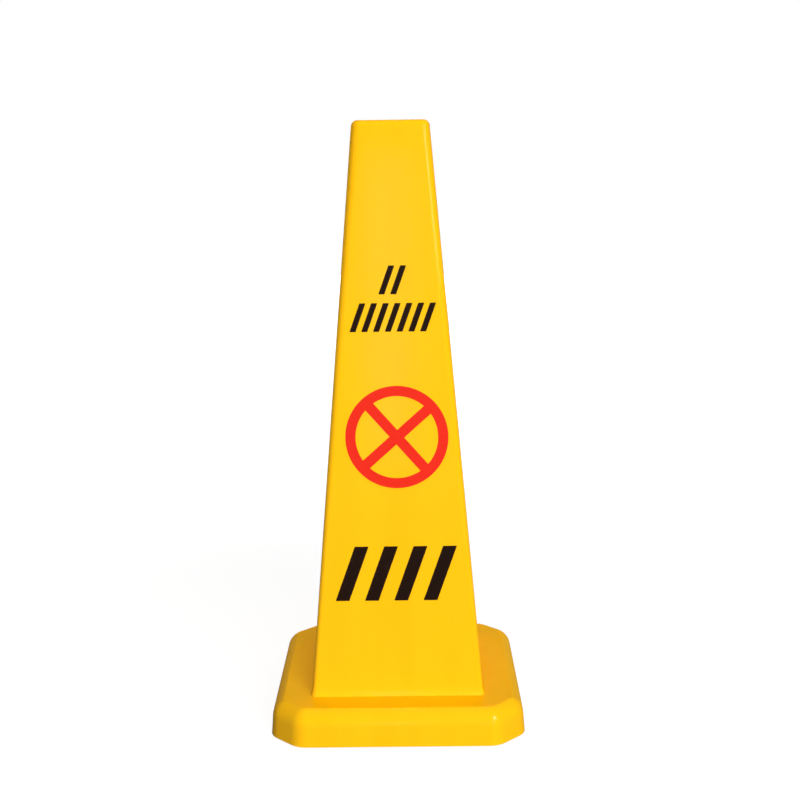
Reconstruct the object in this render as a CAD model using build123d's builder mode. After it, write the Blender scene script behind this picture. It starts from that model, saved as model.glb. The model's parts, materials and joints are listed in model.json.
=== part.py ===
from build123d import *
import os
from math import atan, cos, radians, sin, sqrt, tan

# Free-standing no-parking cone: a hollow four-sided body that snaps into a weighted square base.
# Millimetres. X runs to the right of the front face, Y towards the back and Z up.
# The origin is the middle of the footprint, on the floor.

# Overall size
TOTAL_HEIGHT = 660
BASE_WIDTH = 278
BASE_HEIGHT = 40
LEDGE_WIDTH = 44.5  # from the base's lower edge to the foot of the cone, on every side

# Base shell
BASE_CHAMFER = 31
BASE_CORNER_RADIUS = 24
BASE_EDGE_RADIUS = 21  # of the rim that rises from the skirt to the flat ledge
BASE_CREASE = 25  # degrees between the ledge and the upper end of the rim
BASE_CREASE_RADIUS = 4
BASE_DRAFT = 4.5  # degrees
BASE_WALL = 2.5
BASE_TOP_WALL = 3
SKIRT_LIFT = 1  # the skirt's lower edge stays clear of the floor

# Cone body
CONE_TOP_WIDTH = 82.4  # across flats at the top, before its edge is rounded
CONE_EDGE_RADIUS = 9  # of the four upright edges, at the top
CONE_FOOT_RADIUS = 5  # of the same edges, at the foot
CONE_TOP_RADIUS = 7
CONE_WALL = 2.2
CONE_TOP_WALL = 3
FOOT_FLARE = 1.3  # how far the foot stands out from the faces
FOOT_HEIGHT = 6
FOOT_BLEND = 18
SPIGOT_TAIL = 6
SPIGOT_CLEARANCE = 0.4

# Snap hooks, two on each side of the spigot
HOOK_WIDTH = 14
HOOK_REACH = 2.2
HOOK_HEIGHT = 6
HOOK_TIP = 1.2
HOOK_SPACING = 90
HOOK_CLEARANCE = 0.3
SLIT_WIDTH = 1.6

# Ballast tray
TRAY_LIFT = 2
TRAY_FLOOR = 3
TRAY_WALL = 2
TRAY_FIT = 0.6
TRAY_INNER_GAP = 0.5  # between the snap hooks and the tray's inner wall
TRAY_TOP_GAP = 0.3

# Tray screws
SCREW_DIAMETER = 3.8
SCREW_LENGTH = 16
SCREW_TIP = 3
SCREW_HEAD_DIAMETER = 8
SCREW_HEAD_HEIGHT = 2.6
SCREW_HEAD_FLAT = 4
SCREW_HEAD_RIM = 0.65
SCREW_DOME_RADIUS = 2.6
SCREW_CLEARANCE = 0.1
SCREW_DRIVE_WIDTH = 1.1
SCREW_DRIVE_LENGTH = 4.6
SCREW_DRIVE_DEPTH = 1.4
BOSS_WALL = 2.5
WELL_CLEARANCE = 0.5
WELL_WALL = 2
WELL_FLOOR = 2.5
HEAD_RECESS = 1.4  # how far the screw heads stay above the tray's underside

# Seal and sand
SEAL_WIDTH = 3
SEAL_HEIGHT = 3
SEAL_GAP = 0.4
SAND_GAP = 0.6
SAND_HEADROOM = 3

# Foot strips
STRIP_LENGTH = 120
STRIP_WIDTH = 14
STRIP_RECESS = 1.2
STRIP_FIT = 0.3

# Fill cap
THREAD_LENGTH = 14
THREAD_PITCH = 3
THREAD_DEPTH = 0.8
THREAD_CLEARANCE = 0.3
NECK_WALL = 2.4
NECK_GAP = 1  # between the neck and the tray's inner wall
NECK_LENGTH = 10
CAP_MARGIN = 1  # free ledge outside the cap
CAP_OVERHANG = 3.5  # from the thread to the cap's rim
CAP_HEIGHT = 7
CAP_EDGE = 1.2
CAP_FLUTES = 16
CAP_FLUTE_RADIUS = 1.2
CAP_FLUTE_DEPTH = 0.6
WASHER_THICKNESS = 1.5
WASHER_INSET = 1

# Printed films on the cone's faces
FILM_THICKNESS = 0.25
SYMBOL_PLACE = 0.46  # share of the face's length, from its foot to the middle of the symbol
SYMBOL_MARGIN = 14.5  # from a centred symbol to the sides of the face
SYMBOL_SHIFT = 2.7  # to the right of the face's middle
SYMBOL_STROKE = 11
SYMBOL_BAR = 11.2
SYMBOL_TWIST = 3.6  # degrees, clockwise
STRIPE_SLANT = 20  # degrees
STRIPE_CORNER = 0.6
FIRST_ROW_PLACE = 0.731
SECOND_ROW_PLACE = 0.667
UPPER_STRIPE_MARGIN = 12.5
UPPER_STRIPE_WIDTH = 6.5
UPPER_STRIPE_HEIGHT = 30.5
FIRST_ROW_STRIPES = 2
SECOND_ROW_STRIPES = 7
LOWER_ROW_PLACE = 0.22
LOWER_STRIPE_MARGIN = 16.4
LOWER_STRIPE_WIDTH = 15
LOWER_STRIPE_HEIGHT = 60
LOWER_ROW_STRIPES = 4

# Quarter turns about Z from the front face
SIDES = {"front": 0, "right": 90, "back": 180, "left": 270}

# Levels and half-widths that follow from the sizes above
cone_width = BASE_WIDTH - 2 * LEDGE_WIDTH
cone_rise = TOTAL_HEIGHT - BASE_HEIGHT
cone_slope = (cone_width - CONE_TOP_WIDTH) / 2 / cone_rise
cone_angle = atan(cone_slope)
face_length = cone_rise / cos(cone_angle)
foot_width = cone_width + 2 * FOOT_FLARE
foot_corner = CONE_FOOT_RADIUS + FOOT_FLARE
foot_top = BASE_HEIGHT + FOOT_HEIGHT
foot_slack = FOOT_HEIGHT / 4
foot_top_width = cone_width - 2 * cone_slope * FOOT_HEIGHT
foot_top_corner = CONE_FOOT_RADIUS + (CONE_EDGE_RADIUS - CONE_FOOT_RADIUS) * FOOT_HEIGHT / cone_rise

plate_underside = BASE_HEIGHT - BASE_TOP_WALL
hook_top = plate_underside - HOOK_CLEARANCE
spigot_bottom = hook_top - HOOK_HEIGHT - SPIGOT_TAIL
spigot_half = cone_width / 2
hook_root = spigot_half - CONE_WALL / 2
slit_depth = 2 * (CONE_WALL + HOOK_REACH)
opening_width = cone_width + 2 * SPIGOT_CLEARANCE

tray_floor_top = TRAY_LIFT + TRAY_FLOOR
tray_opening = cone_width + 2 * (HOOK_REACH + TRAY_INNER_GAP)
tray_wall_width = tray_opening + 2 * TRAY_WALL
tray_inset = BASE_WALL + TRAY_FIT

well_radius = SCREW_HEAD_DIAMETER / 2 + WELL_CLEARANCE
well_roof = TRAY_LIFT + HEAD_RECESS + SCREW_HEAD_HEIGHT
boss_bottom = well_roof + WELL_FLOOR
boss_top = BASE_HEIGHT - BASE_TOP_WALL / 2
screw_hole_radius = SCREW_DIAMETER / 2 + SCREW_CLEARANCE
boss_radius = screw_hole_radius + BOSS_WALL
chamfer_reach = (BASE_WIDTH - BASE_CHAMFER - BASE_WALL * sqrt(2)) / 2
screw_pitch = tray_wall_width / 2 + chamfer_reach

seal_inset = tray_inset + SEAL_GAP
sand_inset = seal_inset + SEAL_WIDTH + SAND_GAP
neck_bottom = plate_underside - NECK_LENGTH
sand_top = neck_bottom - SAND_HEADROOM

strip_offset = (tray_opening + BASE_WIDTH - 2 * tray_inset) / 4

rim_cut = BASE_EDGE_RADIUS * (1 - cos(radians(BASE_CREASE)))
rim_half = BASE_WIDTH / 2 - (BASE_HEIGHT + rim_cut - SKIRT_LIFT) * tan(radians(BASE_DRAFT))
crease_half = rim_half - BASE_EDGE_RADIUS * (tan(radians(90 - BASE_DRAFT) / 2) - sin(radians(BASE_CREASE)))
flat_half = crease_half - BASE_CREASE_RADIUS * tan(radians(BASE_CREASE) / 2)
cap_outside = flat_half - CAP_MARGIN
neck_inside = tray_wall_width / 2 + NECK_GAP
neck_overhang = CAP_OVERHANG - THREAD_CLEARANCE - NECK_WALL
cap_radius = (cap_outside - neck_inside + neck_overhang) / 2
fill_offset = cap_outside - cap_radius
thread_radius = cap_radius - CAP_OVERHANG
bore_radius = thread_radius + THREAD_CLEARANCE
washer_top = BASE_HEIGHT + WASHER_THICKNESS
thread_bottom = washer_top - THREAD_LENGTH
ridge_height = THREAD_PITCH / 2

symbol_rise = SYMBOL_PLACE * face_length
first_row_rise = FIRST_ROW_PLACE * face_length
second_row_rise = SECOND_ROW_PLACE * face_length
lower_row_rise = LOWER_ROW_PLACE * face_length


def base_outline(inset):
    """Outline of the base at the skirt's lower edge, moved inwards by inset."""
    with BuildSketch() as outline:
        Rectangle(BASE_WIDTH, BASE_WIDTH)
        chamfer(outline.vertices(), length=BASE_CHAMFER)
        fillet(outline.vertices(), radius=BASE_CORNER_RADIUS)
        if inset:
            offset(amount=-inset, mode=Mode.REPLACE)
    return outline.sketch


def base_block(inset, top):
    """Drafted block on the base's outline; a curved rim ends in a soft crease around the flat top."""
    outline = base_outline(inset)
    with BuildPart() as block:
        with BuildSketch(Plane.XY.offset(SKIRT_LIFT)):
            add(outline)
        extrude(amount=top + rim_cut - SKIRT_LIFT, taper=BASE_DRAFT)
        fillet(block.faces().sort_by(Axis.Z)[-1].edges(), radius=BASE_EDGE_RADIUS - inset)
        split(bisect_by=Plane.XY.offset(top), keep=Keep.BOTTOM)
        fillet(block.faces().sort_by(Axis.Z)[-1].edges(), radius=BASE_CREASE_RADIUS)
    return block.part


def cone_block(wall, top):
    """Tapered block on a straight spigot; wall is how far its faces lie inside the outer ones."""
    inset = wall / cos(cone_angle)
    top_width = CONE_TOP_WIDTH + 2 * cone_slope * (TOTAL_HEIGHT - top)
    with BuildPart() as block:
        with BuildSketch(Plane.XY.offset(BASE_HEIGHT)):
            RectangleRounded(cone_width - 2 * inset, cone_width - 2 * inset, CONE_FOOT_RADIUS - wall)
        with BuildSketch(Plane.XY.offset(top)):
            RectangleRounded(top_width - 2 * inset, top_width - 2 * inset, CONE_EDGE_RADIUS - wall)
        loft(ruled=True)
        fillet(block.faces().sort_by(Axis.Z)[-1].edges(), radius=CONE_TOP_RADIUS - wall)
        extrude(block.faces().sort_by(Axis.Z)[0], amount=BASE_HEIGHT - spigot_bottom)
    return block.part


def square_ring(width, wall, corner, bottom, top):
    """Upright square tube; width and corner radius are those of its opening."""
    with BuildPart() as ring:
        with BuildSketch(Plane.XY.offset(bottom)):
            RectangleRounded(width + 2 * wall, width + 2 * wall, corner + wall)
            RectangleRounded(width, width, corner, mode=Mode.SUBTRACT)
        extrude(amount=top - bottom)
    return ring.part


def face_width(rise):
    """Width of a face at a distance up its slope."""
    return cone_width - 2 * rise * sin(cone_angle)


def face_plane(turn, rise):
    """Plane on one of the cone's faces, its Y axis running up the slope."""
    out = Vector(0, -1, 0).rotate(Axis.Z, turn)
    across = Vector(1, 0, 0).rotate(Axis.Z, turn)
    reach = cone_width / 2 - rise * sin(cone_angle)
    height = BASE_HEIGHT + rise * cos(cone_angle)
    normal = out * cos(cone_angle) + Vector(0, 0, sin(cone_angle))
    return Plane(origin=out * reach + Vector(0, 0, height), x_dir=across, z_dir=normal)


def stripe_lean(height):
    """How far the top of a slanted bar lies beside its foot."""
    return height * tan(radians(STRIPE_SLANT))


def stripe_pitch(rise, margin, count, width, height):
    """Spacing with which a row of bars fills a face between two margins."""
    return (face_width(rise) - 2 * margin - width - stripe_lean(height)) / (count - 1)


def stripe_row(plane, count, pitch, width, height):
    """Row of slanted bars, as a thin film on a face of the cone."""
    lean = stripe_lean(height) / 2
    with BuildPart() as row:
        with BuildSketch(plane) as bars:
            with GridLocations(pitch, 0, count, 1):
                Polygon(
                    (-width / 2 - lean, -height / 2),
                    (width / 2 - lean, -height / 2),
                    (width / 2 + lean, height / 2),
                    (-width / 2 + lean, height / 2),
                )
            fillet(bars.vertices(), radius=STRIPE_CORNER)
        extrude(amount=FILM_THICKNESS)
    return row.part


def write(piece, name):
    """Labels a finished piece and writes it as a STEP file."""
    piece.part.label = name
    export_step(piece.part, f"parts/{name}.step")


os.makedirs("parts", exist_ok=True)

# Cone body: one hook with its two slits, then the shell that carries eight of them
with BuildPart() as hook:
    with BuildSketch(Plane.YZ):
        Polygon(
            (-hook_root, hook_top),
            (-spigot_half - HOOK_REACH, hook_top),
            (-spigot_half - HOOK_REACH, hook_top - HOOK_TIP),
            (-spigot_half, hook_top - HOOK_HEIGHT),
            (-hook_root, hook_top - HOOK_HEIGHT),
            align=None,
        )
    extrude(amount=HOOK_WIDTH / 2, both=True)

with BuildPart() as slit:
    with BuildSketch(Plane.XY.offset(spigot_bottom)):
        with Locations((0, -spigot_half)):
            with GridLocations(HOOK_WIDTH + SLIT_WIDTH, 0, 2, 1):
                Rectangle(SLIT_WIDTH, slit_depth)
    extrude(amount=hook_top - spigot_bottom)

cone_outside = cone_block(0, TOTAL_HEIGHT)
cone_hollow = cone_block(CONE_WALL, TOTAL_HEIGHT - CONE_TOP_WALL)

with BuildPart() as cone_body:
    add(cone_outside)
    with BuildSketch(Plane.XY.offset(BASE_HEIGHT)):
        RectangleRounded(foot_width, foot_width, foot_corner)
    with BuildSketch(Plane.XY.offset(foot_top)):
        RectangleRounded(foot_top_width, foot_top_width, foot_top_corner)
    loft(ruled=True)
    crease = cone_body.edges().filter_by_position(Axis.Z, foot_top - foot_slack, foot_top + foot_slack)
    fillet(crease, radius=FOOT_BLEND)
    add(cone_hollow, mode=Mode.SUBTRACT)
    with PolarLocations(0, len(SIDES)):
        with GridLocations(HOOK_SPACING, 0, 2, 1):
            add(hook.part)
            add(slit.part, mode=Mode.SUBTRACT)
write(cone_body, "cone_body")

# Base shell: drafted cover with the square opening, four screw bosses and the fill neck
base_outside = base_block(0, BASE_HEIGHT)
base_hollow = base_block(BASE_WALL, plate_underside)

with BuildPart() as base_shell:
    add(base_outside)
    add(base_hollow, mode=Mode.SUBTRACT)
    with BuildSketch(Plane.XY.offset(boss_bottom)):
        with GridLocations(screw_pitch, screw_pitch, 2, 2):
            Circle(boss_radius)
    extrude(amount=boss_top - boss_bottom)
    with BuildSketch(Plane.XY.offset(boss_bottom)):
        with GridLocations(screw_pitch, screw_pitch, 2, 2):
            Circle(screw_hole_radius)
    extrude(amount=SCREW_LENGTH, mode=Mode.SUBTRACT)
    with BuildSketch(Plane.XY.offset(neck_bottom)):
        with Locations((0, fill_offset)):
            Circle(bore_radius + NECK_WALL)
    extrude(amount=boss_top - neck_bottom)
    with BuildSketch(Plane.XY.offset(neck_bottom)):
        with Locations((0, fill_offset)):
            Circle(bore_radius)
        RectangleRounded(opening_width, opening_width, CONE_FOOT_RADIUS + SPIGOT_CLEARANCE)
    extrude(amount=BASE_HEIGHT - neck_bottom, mode=Mode.SUBTRACT)
write(base_shell, "base_shell")

# Ballast tray: ring floor with an inner wall, four screw wells and recesses for the foot strips
tray_outline = base_outline(tray_inset)
tray_top = plate_underside - TRAY_TOP_GAP
tray_inner_wall = square_ring(tray_opening, TRAY_WALL, CONE_EDGE_RADIUS, TRAY_LIFT, tray_top)

with BuildPart() as base_tray:
    with BuildSketch(Plane.XY.offset(TRAY_LIFT)):
        add(tray_outline)
        RectangleRounded(tray_opening, tray_opening, CONE_EDGE_RADIUS, mode=Mode.SUBTRACT)
    extrude(amount=TRAY_FLOOR)
    add(tray_inner_wall)
    with BuildSketch(Plane.XY.offset(TRAY_LIFT)):
        with GridLocations(screw_pitch, screw_pitch, 2, 2):
            Circle(well_radius + WELL_WALL)
    extrude(amount=boss_bottom - TRAY_LIFT)
    with BuildSketch(Plane.XY.offset(TRAY_LIFT)):
        with GridLocations(screw_pitch, screw_pitch, 2, 2):
            Circle(well_radius)
    extrude(amount=well_roof - TRAY_LIFT, mode=Mode.SUBTRACT)
    with BuildSketch(Plane.XY.offset(TRAY_LIFT)):
        with GridLocations(screw_pitch, screw_pitch, 2, 2):
            Circle(screw_hole_radius)
    extrude(amount=boss_bottom - TRAY_LIFT, mode=Mode.SUBTRACT)
    with BuildSketch(Plane.XY.offset(TRAY_LIFT)):
        with PolarLocations(strip_offset, len(SIDES), start_angle=-90):
            SlotOverall(STRIP_LENGTH + 2 * STRIP_FIT, STRIP_WIDTH + 2 * STRIP_FIT, rotation=90)
    extrude(amount=STRIP_RECESS, mode=Mode.SUBTRACT)
write(base_tray, "base_tray")

# Rubber ring on the tray's edge
seal_outside = base_outline(seal_inset)
seal_inside = base_outline(seal_inset + SEAL_WIDTH)

with BuildPart() as tray_seal:
    with BuildSketch(Plane.XY.offset(tray_floor_top)):
        add(seal_outside)
        add(seal_inside, mode=Mode.SUBTRACT)
    extrude(amount=SEAL_HEIGHT)
write(tray_seal, "tray_seal")

# Sand in the ring chamber, levelled below the fill neck
sand_outline = base_outline(sand_inset)
sand_opening = tray_wall_width + 2 * SAND_GAP
sand_corner = CONE_EDGE_RADIUS + TRAY_WALL + SAND_GAP

with BuildPart() as sand_ballast:
    with BuildSketch(Plane.XY.offset(tray_floor_top)):
        add(sand_outline)
        RectangleRounded(sand_opening, sand_opening, sand_corner, mode=Mode.SUBTRACT)
        with GridLocations(screw_pitch, screw_pitch, 2, 2):
            Circle(well_radius + WELL_WALL + SAND_GAP, mode=Mode.SUBTRACT)
    extrude(amount=sand_top - tray_floor_top)
write(sand_ballast, "sand_ballast")

# Tray screws: a domed head with a cross recess, a plain shank and a tapered tip
head_face = well_roof - SCREW_HEAD_HEIGHT
head_rim = well_roof - SCREW_HEAD_RIM

with BuildPart() as screw:
    with BuildSketch(Plane.XZ):
        with BuildLine():
            Polyline((0, head_face), (SCREW_HEAD_FLAT / 2, head_face))
            RadiusArc(
                (SCREW_HEAD_FLAT / 2, head_face),
                (SCREW_HEAD_DIAMETER / 2, head_rim),
                -SCREW_DOME_RADIUS,
            )
            Polyline(
                (SCREW_HEAD_DIAMETER / 2, head_rim),
                (SCREW_HEAD_DIAMETER / 2, well_roof),
                (SCREW_DIAMETER / 2, well_roof),
                (SCREW_DIAMETER / 2, well_roof + SCREW_LENGTH - SCREW_TIP),
                (0, well_roof + SCREW_LENGTH),
                (0, head_face),
            )
        make_face()
    revolve(axis=Axis.Z)
    with BuildSketch(Plane.XY.offset(head_face)):
        Rectangle(SCREW_DRIVE_LENGTH, SCREW_DRIVE_WIDTH)
        Rectangle(SCREW_DRIVE_WIDTH, SCREW_DRIVE_LENGTH)
    extrude(amount=SCREW_DRIVE_DEPTH, mode=Mode.SUBTRACT)

with BuildPart() as tray_screws:
    with GridLocations(screw_pitch, screw_pitch, 2, 2):
        add(screw.part)
write(tray_screws, "tray_screws")

# Rubber strips under the four sides of the tray
for side, turn in SIDES.items():
    with BuildPart() as strip:
        with BuildSketch(Plane.XY):
            with PolarLocations(strip_offset, 1, start_angle=turn - 90):
                SlotOverall(STRIP_LENGTH, STRIP_WIDTH, rotation=90)
        extrude(amount=TRAY_LIFT + STRIP_RECESS)
    write(strip, f"{side}_foot_strip")

# Fill cap: a fluted head on a shank whose thread is shown as even ridges, and the washer under it
with BuildPart() as cap_washer:
    with BuildSketch(Plane.XY.offset(BASE_HEIGHT)):
        with Locations((0, fill_offset)):
            Circle(cap_radius - WASHER_INSET)
            Circle(bore_radius, mode=Mode.SUBTRACT)
    extrude(amount=WASHER_THICKNESS)
write(cap_washer, "cap_washer")

with BuildPart() as fill_cap:
    with BuildSketch(Plane.XY.offset(washer_top)):
        with Locations((0, fill_offset)):
            Circle(cap_radius)
    extrude(amount=CAP_HEIGHT)
    fillet(fill_cap.faces().sort_by(Axis.Z)[-1].edges(), radius=CAP_EDGE)
    with BuildSketch(Plane.XY.offset(washer_top)):
        with Locations((0, fill_offset)):
            with PolarLocations(cap_radius + CAP_FLUTE_RADIUS - CAP_FLUTE_DEPTH, CAP_FLUTES):
                Circle(CAP_FLUTE_RADIUS)
    extrude(amount=CAP_HEIGHT, mode=Mode.SUBTRACT)
    with BuildSketch(Plane.XY.offset(thread_bottom)):
        with Locations((0, fill_offset)):
            Circle(thread_radius - THREAD_DEPTH)
    extrude(amount=THREAD_LENGTH)
    for ridge in range(int(THREAD_LENGTH / THREAD_PITCH)):
        with BuildSketch(Plane.XY.offset(thread_bottom + ridge * THREAD_PITCH + ridge_height)):
            with Locations((0, fill_offset)):
                Circle(thread_radius)
        extrude(amount=ridge_height)
write(fill_cap, "fill_cap")

# Printed films on all four faces
symbol_radius = face_width(symbol_rise) / 2 - SYMBOL_MARGIN
upper_bar = (UPPER_STRIPE_WIDTH, UPPER_STRIPE_HEIGHT)
upper_pitch = stripe_pitch(second_row_rise, UPPER_STRIPE_MARGIN, SECOND_ROW_STRIPES, *upper_bar)
lower_bar = (LOWER_STRIPE_WIDTH, LOWER_STRIPE_HEIGHT)
lower_pitch = stripe_pitch(lower_row_rise, LOWER_STRIPE_MARGIN, LOWER_ROW_STRIPES, *lower_bar)

for side, turn in SIDES.items():
    with BuildPart() as symbol:
        with BuildSketch(face_plane(turn, symbol_rise)):
            with Locations((SYMBOL_SHIFT, 0)):
                Circle(symbol_radius)
                Circle(symbol_radius - SYMBOL_STROKE, mode=Mode.SUBTRACT)
                for lean in (45, -45):
                    Rectangle(2 * symbol_radius - SYMBOL_STROKE, SYMBOL_BAR, rotation=lean - SYMBOL_TWIST)
        extrude(amount=FILM_THICKNESS)
    write(symbol, f"{side}_symbol_decal")

    first_row = stripe_row(face_plane(turn, first_row_rise), FIRST_ROW_STRIPES, upper_pitch, *upper_bar)
    second_row = stripe_row(face_plane(turn, second_row_rise), SECOND_ROW_STRIPES, upper_pitch, *upper_bar)
    with BuildPart() as upper_stripes:
        add(first_row)
        add(second_row)
    write(upper_stripes, f"{side}_upper_stripes")

    lower_row = stripe_row(face_plane(turn, lower_row_rise), LOWER_ROW_STRIPES, lower_pitch, *lower_bar)
    with BuildPart() as lower_stripes:
        add(lower_row)
    write(lower_stripes, f"{side}_lower_stripes")
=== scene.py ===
import json
import math

import bmesh
import bpy
from mathutils import Euler, Matrix, Vector


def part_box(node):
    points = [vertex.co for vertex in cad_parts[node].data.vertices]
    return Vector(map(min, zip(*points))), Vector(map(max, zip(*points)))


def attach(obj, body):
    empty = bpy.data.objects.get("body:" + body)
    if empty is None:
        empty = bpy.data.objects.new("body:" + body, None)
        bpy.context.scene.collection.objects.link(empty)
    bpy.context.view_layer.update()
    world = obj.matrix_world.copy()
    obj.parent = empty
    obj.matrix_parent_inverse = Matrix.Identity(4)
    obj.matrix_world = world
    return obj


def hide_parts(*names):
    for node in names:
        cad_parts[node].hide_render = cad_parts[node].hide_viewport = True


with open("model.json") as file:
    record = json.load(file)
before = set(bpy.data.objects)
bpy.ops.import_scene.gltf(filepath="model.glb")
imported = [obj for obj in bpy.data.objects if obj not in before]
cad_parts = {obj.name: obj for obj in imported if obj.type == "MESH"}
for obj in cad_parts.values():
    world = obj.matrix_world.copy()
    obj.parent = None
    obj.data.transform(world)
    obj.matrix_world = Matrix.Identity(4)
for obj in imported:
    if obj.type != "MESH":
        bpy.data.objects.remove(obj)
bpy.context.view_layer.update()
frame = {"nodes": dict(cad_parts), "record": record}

# Camera: place in metres, angles in degrees, lens in millimetres on a 36 mm sensor
CAMERA_PLACE = (0.0193, -1.4658, 0.6370)
CAMERA_HEADING = 0.52
CAMERA_PITCH = -10.99
CAMERA_ROLL = -0.79
CAMERA_LENS = 59.83

# Lamps: azimuth to the right of the front and elevation in degrees, distance and size in metres.
# A level of 1 shows a surface that faces the lamp in the colour it is written in. A lamp that isn't
# mirrored only lights the sign, one without lighting only shows in its gloss, and an upward one
# lies on the floor, where it lights the cone and leaves the base's rim dark.
LIGHTS = {
    "key_light": {
        "azimuth": 20, "elevation": 8, "distance": 5.0, "size": (3.2, 2.2), "level": 1.23,
        "mirrored": False,
    },
    "overhead_light": {
        "azimuth": 0, "elevation": 86, "distance": 6.0, "size": (1.6, 1.6), "level": 0.47,
        "mirrored": False,
    },
    "rear_light": {
        "azimuth": 180, "elevation": 4, "distance": 5.0, "size": (1.6, 1.6), "level": 0.50,
        "mirrored": False,
    },
    "floor_light": {
        "azimuth": 220, "elevation": -11.5, "distance": 1.63, "size": (1.6, 1.6), "level": 2.4,
        "mirrored": False, "upward": True,
    },
    "edge_shine": {
        "azimuth": 37, "elevation": 17, "distance": 5.0, "size": (2.6, 1.6), "level": 0.55,
        "lighting": False,
    },
    "corner_shine": {
        "azimuth": 37, "elevation": 26, "distance": 5.0, "size": (1.1, 1.2), "level": 0.70,
        "lighting": False,
    },
    "face_shine": {
        "azimuth": -1, "elevation": 4, "distance": 5.0, "size": (0.2, 1.5), "level": 0.016,
        "lighting": False,
    },
}
LIGHT_AIM = (0.0, 0.0, 0.33)
AMBIENT_LEVEL = 0.02
WHITE = (1.0, 1.0, 1.0, 1.0)

# Floor, in metres: its grey takes the shadow, and its glow makes up the rest of the white
FLOOR_SIZE = 30.0
FLOOR_TONE = 0.25
FLOOR_GLOW = 0.84
SHADOW_REACH = (0.5, 1.3)  # the glow rises to plain white between these distances

# Fill cap, in metres; its height and radii come from the frame
CAP_EDGE = 0.0012
CAP_FLUTES = 16
CAP_FLUTE_RADIUS = 0.0012
CAP_FLUTE_DEPTH = 0.0006
CAP_DISH_RADIUS = 0.0078
CAP_DISH_DEPTH = 0.0006
CAP_SHARP_ANGLE = 35  # degrees; steeper edges stay sharp
THREAD_DEPTH = 0.0008
THREAD_PITCH = 0.003
THREAD_START = 0.002  # length over which the thread grows to its full depth
THREAD_EXCESS = 1.5  # ridges rise to this times their depth and are cut flat at their depth
THREAD_ROWS = 48
EDGE_ROWS = 4
CAP_STEPS = 192
CAP_ANGLES = [2 * math.pi * step / CAP_STEPS for step in range(CAP_STEPS)]

# Colours, linear
YELLOW = (0.970, 0.505, 0.003)
YELLOW_DEEP = (0.955, 0.485, 0.002)
RED = (0.775, 0.025, 0.012)
RED_DEEP = (0.725, 0.021, 0.010)
INK = (0.011, 0.004, 0.002)
INK_WORN = (0.018, 0.009, 0.006)
TRAY_BLACK = (0.022, 0.022, 0.024)
TRAY_GREY = (0.034, 0.034, 0.036)
CAP_BLACK = (0.026, 0.026, 0.028)
CAP_GREY = (0.040, 0.040, 0.042)
RUBBER_BLACK = (0.016, 0.016, 0.016)
RUBBER_DUSTY = (0.036, 0.034, 0.031)
ZINC = (0.62, 0.62, 0.63)
ZINC_DULL = (0.46, 0.46, 0.47)
SAND_PALE = (0.62, 0.49, 0.33)
SAND_DARK = (0.34, 0.25, 0.16)

# Gloss of the yellow plastic and the films: a thin strong coat alone, so that edges seen at a
# glancing angle keep their colour, with a fine orange peel
COAT_IOR = 2.0
PEEL_SCALE = 620.0
PEEL_DEPTH = 0.00002


class Shader:
    """A material with a principled shader and short calls for the nodes around it."""

    def __init__(self, name):
        self.material = bpy.data.materials.new(name)
        self.material.use_nodes = True
        self.tree = self.material.node_tree
        self.surface = self.tree.nodes["Principled BSDF"]
        self.place = self.tree.nodes.new("ShaderNodeTexCoord").outputs["Object"]
        self.relief = None

    def set(self, **values):
        """Sets sockets of the principled shader; underscores stand for spaces."""
        for socket, value in values.items():
            self.surface.inputs[socket.replace("_", " ")].default_value = value

    def stretched(self, scale):
        """Object coordinates in metres, multiplied by scale."""
        mapping = self.tree.nodes.new("ShaderNodeMapping")
        mapping.inputs["Scale"].default_value = scale
        self.tree.links.new(self.place, mapping.inputs["Vector"])
        return mapping.outputs["Vector"]

    def noise(self, scale, detail=2.0):
        """Cloudy noise; scale counts its features per metre, for all axes or for each."""
        noise = self.tree.nodes.new("ShaderNodeTexNoise")
        place = self.place
        if isinstance(scale, tuple):
            place, scale = self.stretched(scale), 1.0
        noise.inputs["Scale"].default_value = scale
        noise.inputs["Detail"].default_value = detail
        self.tree.links.new(place, noise.inputs["Vector"])
        return noise.outputs["Fac"]

    def grains(self, scale):
        """Tone and height of random cells; scale counts them per metre."""
        cells = self.tree.nodes.new("ShaderNodeTexVoronoi")
        cells.inputs["Scale"].default_value = scale
        self.tree.links.new(self.place, cells.inputs["Vector"])
        tones = self.tree.nodes.new("ShaderNodeSeparateColor")
        self.tree.links.new(cells.outputs["Color"], tones.inputs["Color"])
        return tones.outputs["Red"], cells.outputs["Distance"]

    def spread(self, value, low=0.0, high=1.0, start=0.3, end=0.7):
        """Maps a noise from start and end, by default its usual range, to low and high."""
        mapped = self.tree.nodes.new("ShaderNodeMapRange")
        mapped.inputs["From Min"].default_value = start
        mapped.inputs["From Max"].default_value = end
        mapped.inputs["To Min"].default_value = low
        mapped.inputs["To Max"].default_value = high
        self.tree.links.new(value, mapped.inputs["Value"])
        return mapped.outputs["Result"]

    def colour(self, value, first, second):
        """Base colour that runs between two tones."""
        mix = self.tree.nodes.new("ShaderNodeMix")
        mix.data_type = "RGBA"
        mix.inputs["A"].default_value = (*first, 1.0)
        mix.inputs["B"].default_value = (*second, 1.0)
        self.tree.links.new(value, mix.inputs["Factor"])
        self.tree.links.new(mix.outputs["Result"], self.surface.inputs["Base Color"])

    def roughness(self, value, low, high):
        """Roughness that follows a noise."""
        self.tree.links.new(self.spread(value, low, high), self.surface.inputs["Roughness"])

    def bump(self, height, depth):
        """Adds a relief of the given depth in metres to those before it."""
        bump = self.tree.nodes.new("ShaderNodeBump")
        bump.inputs["Distance"].default_value = depth
        self.tree.links.new(height, bump.inputs["Height"])
        if self.relief:
            self.tree.links.new(self.relief, bump.inputs["Normal"])
        self.relief = bump.outputs["Normal"]
        self.tree.links.new(self.relief, self.surface.inputs["Normal"])


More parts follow.
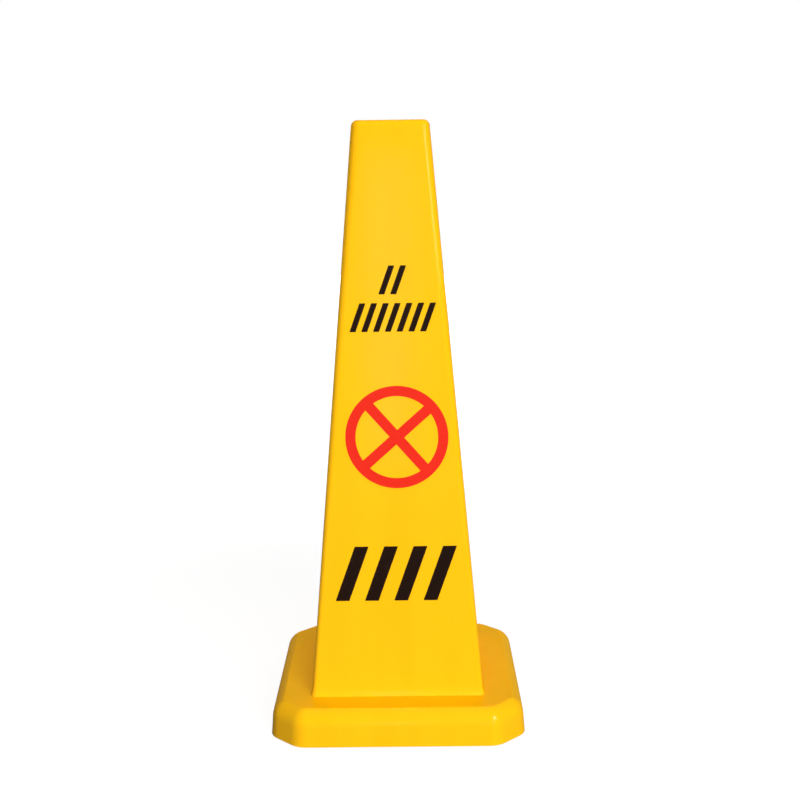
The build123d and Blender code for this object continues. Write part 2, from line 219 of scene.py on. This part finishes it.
def yellow_plastic():
    """Glossy moulded plastic: faint vertical streaks of deeper yellow, partly flow marks and partly
    painted sheen, long waves and a fine orange peel.
    """
    shader = Shader("yellow_plastic")
    shader.set(Specular_IOR_Level=0.0, Coat_Weight=0.055, Coat_Roughness=0.10, Coat_IOR=COAT_IOR)
    # Painted sheen: vertical streaks of deeper yellow, partly flow marks in the tone and partly
    # standing in for faint reflections on the faces
    flow_and_sheen_streaks = shader.noise(scale=(42.0, 42.0, 2.2))
    shader.colour(shader.spread(flow_and_sheen_streaks), YELLOW, YELLOW_DEEP)
    shader.roughness(shader.noise(scale=38.0, detail=3.0), low=0.27, high=0.37)
    waves = shader.noise(scale=(11.0, 11.0, 1.8), detail=1.0)
    shader.bump(waves, depth=0.0007)
    shader.bump(shader.noise(scale=PEEL_SCALE), depth=PEEL_DEPTH)
    return shader.material


def film(name, tone, worn):
    """Printed film: smooth ink with a few worn specks."""
    shader = Shader(name)
    shader.set(Specular_IOR_Level=0.0, Coat_Weight=0.03, Coat_Roughness=0.24, Coat_IOR=COAT_IOR)
    specks = shader.noise(scale=260.0, detail=4.0)
    shader.colour(shader.spread(specks, start=0.55, end=0.8), tone, worn)
    shader.roughness(shader.noise(scale=55.0, detail=3.0), low=0.30, high=0.42)
    shader.bump(shader.noise(scale=PEEL_SCALE), depth=PEEL_DEPTH)
    return shader.material


def moulded_grain(name, tone, grey):
    """Dark plastic with a fine moulded grain."""
    shader = Shader(name)
    shader.set(Specular_IOR_Level=0.4)
    clouds = shader.noise(scale=24.0, detail=4.0)
    shader.colour(shader.spread(clouds), tone, grey)
    shader.roughness(shader.noise(scale=60.0, detail=3.0), low=0.42, high=0.6)
    shader.bump(shader.noise(scale=1500.0, detail=3.0), depth=0.00006)
    return shader.material


def rubber():
    """Matt rubber with a dusty bloom."""
    shader = Shader("rubber")
    shader.set(Specular_IOR_Level=0.3)
    dust = shader.noise(scale=90.0, detail=5.0)
    shader.colour(shader.spread(dust, start=0.45, end=0.75), RUBBER_BLACK, RUBBER_DUSTY)
    shader.roughness(shader.noise(scale=70.0, detail=3.0), low=0.72, high=0.9)
    shader.bump(shader.noise(scale=1100.0, detail=3.0), depth=0.00008)
    return shader.material


def zinc_plated_steel():
    """Bright zinc with cloudy dull patches."""
    shader = Shader("zinc_plated_steel")
    shader.set(Metallic=1.0)
    clouds = shader.noise(scale=420.0, detail=4.0)
    shader.colour(shader.spread(clouds), ZINC, ZINC_DULL)
    shader.roughness(shader.noise(scale=700.0, detail=3.0), low=0.25, high=0.45)
    shader.bump(shader.noise(scale=2600.0), depth=0.00001)
    return shader.material


def sand():
    """Dry sand: grains of mixed tone."""
    shader = Shader("sand")
    shader.set(Specular_IOR_Level=0.2)
    tone, height = shader.grains(scale=1100.0)
    shader.colour(tone, SAND_PALE, SAND_DARK)
    shader.roughness(shader.noise(scale=300.0), low=0.8, high=0.95)
    shader.bump(height, depth=0.0004)
    return shader.material


def dress_nodes():
    """Gives every solid the finish of its material slot."""
    finishes = {
        "yellow_plastic": yellow_plastic(),
        "black_plastic": moulded_grain("black_plastic", TRAY_BLACK, TRAY_GREY),
        "cap_plastic": moulded_grain("cap_plastic", CAP_BLACK, CAP_GREY),
        "rubber": rubber(),
        "sand": sand(),
        "screw_steel": zinc_plated_steel(),
        "red_film": film("red_film", RED, RED_DEEP),
        "black_film": film("black_film", INK, INK_WORN),
    }
    for subpart in frame["record"]["subparts"]:
        for slot in frame["nodes"][subpart["node"]].material_slots:
            slot.material = finishes[subpart["material_slot"]]
    return finishes


def link(thing):
    """Puts an object into the scene."""
    bpy.context.scene.collection.objects.link(thing)
    return thing


def reach(points, axis):
    """Largest distance of points from an upright axis."""
    return max((point - axis).xy.length for point in points)


def flute(angle, radius):
    """Radius of the cap's fluted head at an angle from a flute."""
    pitch = 2 * math.pi / CAP_FLUTES
    offset = (angle + pitch / 2) % pitch - pitch / 2
    centre = radius + CAP_FLUTE_RADIUS - CAP_FLUTE_DEPTH
    inside = CAP_FLUTE_RADIUS**2 - (centre * math.sin(offset)) ** 2
    if inside <= 0:
        return radius
    return min(radius, centre * math.cos(offset) - math.sqrt(inside))


def thread(angle, radius, height, above):
    """Radius of the cap's right-hand thread; above is the height over the thread's lower end."""
    turn = (height / THREAD_PITCH - angle / (2 * math.pi)) % 1.0
    crest = 0.5 - 0.5 * math.cos(2 * math.pi * turn)
    grown = min(1.0, above / THREAD_START)
    return radius - THREAD_DEPTH + THREAD_DEPTH * grown * min(1.0, THREAD_EXCESS * crest)


def cap_rings(bottom, seat, top, shaft, head):
    """Heights of the cap's rings from the thread's end to the dish, with their radii all round."""
    rings = []
    for row in range(THREAD_ROWS + 1):
        above = (seat - bottom) * row / THREAD_ROWS
        height = bottom + above
        rings.append((height, [thread(angle, shaft, height, above) for angle in CAP_ANGLES]))
    grip = [flute(angle, head) for angle in CAP_ANGLES]
    rings.append((seat, grip))
    for row in range(EDGE_ROWS + 1):
        turn = math.pi / 2 * row / EDGE_ROWS
        inset = CAP_EDGE * (1 - math.cos(turn))
        height = top - CAP_EDGE + CAP_EDGE * math.sin(turn)
        rings.append((height, [radius - inset for radius in grip]))
    rings.append((top, [CAP_DISH_RADIUS] * CAP_STEPS))
    rings.append((top - CAP_DISH_DEPTH, [CAP_DISH_RADIUS - CAP_DISH_DEPTH] * CAP_STEPS))
    return rings


def add_fill_cap(finish):
    """Screw cap with a fluted head, a shallow dish in its top and a helical thread."""
    low, high = (Vector(corner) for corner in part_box("fill_cap"))
    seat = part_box("cap_washer")[1][2]
    middle = (low + high) / 2
    node = frame["nodes"]["fill_cap"]
    points = [node.matrix_world @ vertex.co for vertex in node.data.vertices]
    head = reach(points, middle)
    shaft = reach([point for point in points if point.z < seat - CAP_EDGE], middle)

    shape = bmesh.new()
    loops = []
    for height, radii in cap_rings(low.z, seat, high.z, shaft, head):
        loop = []
        for angle, radius in zip(CAP_ANGLES, radii):
            x = middle.x + radius * math.cos(angle)
            y = middle.y + radius * math.sin(angle)
            loop.append(shape.verts.new((x, y, height)))
        loops.append(loop)
    for lower, upper in zip(loops, loops[1:]):
        for step in range(CAP_STEPS):
            after = (step + 1) % CAP_STEPS
            shape.faces.new((lower[step], lower[after], upper[after], upper[step]))
    shape.faces.new(reversed(loops[0]))
    shape.faces.new(loops[-1])
    mesh = bpy.data.meshes.new("threaded_fill_cap")
    shape.to_mesh(mesh)
    shape.free()
    mesh.shade_smooth()
    mesh.set_sharp_from_angle(angle=math.radians(CAP_SHARP_ANGLE))
    mesh.materials.append(finish)
    cap = link(bpy.data.objects.new("threaded_fill_cap", mesh))
    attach(cap, "cap")
    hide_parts("fill_cap")


def add_camera():
    """Camera at the photograph's viewing angle."""
    data = bpy.data.cameras.new("camera")
    data.lens = CAMERA_LENS
    camera = link(bpy.data.objects.new("camera", data))
    aim = Euler((math.radians(90 + CAMERA_PITCH), 0.0, math.radians(CAMERA_HEADING))).to_matrix()
    roll = Matrix.Rotation(math.radians(CAMERA_ROLL), 3, "Z")
    camera.matrix_world = Matrix.Translation(CAMERA_PLACE) @ (aim @ roll).to_4x4()
    bpy.context.scene.camera = camera


def add_light(
    name, azimuth, elevation, distance, size, level, lighting=True, mirrored=True, upward=False
):
    """Flat lamp that looks at the middle of the object or straight up."""
    turn, rise = math.radians(azimuth), math.radians(elevation)
    across = math.cos(rise)
    towards = Vector((math.sin(turn) * across, -math.cos(turn) * across, math.sin(rise)))
    data = bpy.data.lights.new(name, "AREA")
    data.shape = "RECTANGLE"
    data.size, data.size_y = size
    data.energy = level * (math.pi * distance) ** 2
    light = link(bpy.data.objects.new(name, data))
    light.location = Vector(LIGHT_AIM) + towards * distance
    back = Vector((0.0, 0.0, -1.0)) if upward else towards
    light.rotation_euler = back.to_track_quat("Z", "Y").to_euler()
    light.visible_camera = False
    light.visible_diffuse = lighting
    light.visible_glossy = mirrored


def seen_directly(tree):
    """1 for rays from the camera, in reflections and through glass, 0 for light on the object."""
    path = tree.nodes.new("ShaderNodeLightPath")
    most = path.outputs["Is Camera Ray"]
    for ray in ("Is Glossy Ray", "Is Transmission Ray"):
        larger = tree.nodes.new("ShaderNodeMath")
        larger.operation = "MAXIMUM"
        tree.links.new(most, larger.inputs[0])
        tree.links.new(path.outputs[ray], larger.inputs[1])
        most = larger.outputs["Value"]
    return most


def add_world():
    """White studio with a faint light of its own."""
    world = bpy.data.worlds.new("studio")
    bpy.context.scene.world = world
    world.use_nodes = True
    tree = world.node_tree
    ambient = tree.nodes["Background"]
    ambient.inputs["Color"].default_value = WHITE
    ambient.inputs["Strength"].default_value = AMBIENT_LEVEL
    white = tree.nodes.new("ShaderNodeBackground")
    white.inputs["Color"].default_value = WHITE
    mix = tree.nodes.new("ShaderNodeMixShader")
    tree.links.new(seen_directly(tree), mix.inputs["Fac"])
    tree.links.new(ambient.outputs["Background"], mix.inputs[1])
    tree.links.new(white.outputs["Background"], mix.inputs[2])
    tree.links.new(mix.outputs["Shader"], tree.nodes["World Output"].inputs["Surface"])


def floor_finish():
    """Grey paint with a glow that only shows directly and rises to white away from the object."""
    material = bpy.data.materials.new("floor")
    material.use_nodes = True
    tree = material.node_tree
    tree.nodes.remove(tree.nodes["Principled BSDF"])
    paint = tree.nodes.new("ShaderNodeBsdfDiffuse")
    paint.inputs["Color"].default_value = (FLOOR_TONE, FLOOR_TONE, FLOOR_TONE, 1.0)
    distance = tree.nodes.new("ShaderNodeVectorMath")
    distance.operation = "LENGTH"
    place = tree.nodes.new("ShaderNodeTexCoord")
    tree.links.new(place.outputs["Object"], distance.inputs[0])
    rise = tree.nodes.new("ShaderNodeMapRange")
    rise.interpolation_type = "SMOOTHSTEP"
    rise.inputs["From Min"].default_value = SHADOW_REACH[0]
    rise.inputs["From Max"].default_value = SHADOW_REACH[1]
    rise.inputs["To Min"].default_value = FLOOR_GLOW
    rise.inputs["To Max"].default_value = 1.0
    tree.links.new(distance.outputs["Value"], rise.inputs["Value"])
    strength = tree.nodes.new("ShaderNodeMath")
    strength.operation = "MULTIPLY"
    tree.links.new(seen_directly(tree), strength.inputs[0])
    tree.links.new(rise.outputs["Result"], strength.inputs[1])
    glow = tree.nodes.new("ShaderNodeEmission")
    tree.links.new(strength.outputs["Value"], glow.inputs["Strength"])
    both = tree.nodes.new("ShaderNodeAddShader")
    tree.links.new(paint.outputs["BSDF"], both.inputs[0])
    tree.links.new(glow.outputs["Emission"], both.inputs[1])
    tree.links.new(both.outputs["Shader"], tree.nodes["Material Output"].inputs["Surface"])
    return material


def add_floor():
    """Pale floor that shows white and keeps the shadow."""
    grid = bmesh.new()
    bmesh.ops.create_grid(grid, x_segments=1, y_segments=1, size=FLOOR_SIZE / 2)
    mesh = bpy.data.meshes.new("floor")
    grid.to_mesh(mesh)
    grid.free()
    mesh.materials.append(floor_finish())
    link(bpy.data.objects.new("floor", mesh))


finishes = dress_nodes()
add_fill_cap(finishes["cap_plastic"])
add_camera()
for name, light in LIGHTS.items():
    add_light(name, **light)
add_world()
add_floor()
bpy.context.scene.view_settings.view_transform = "Standard"
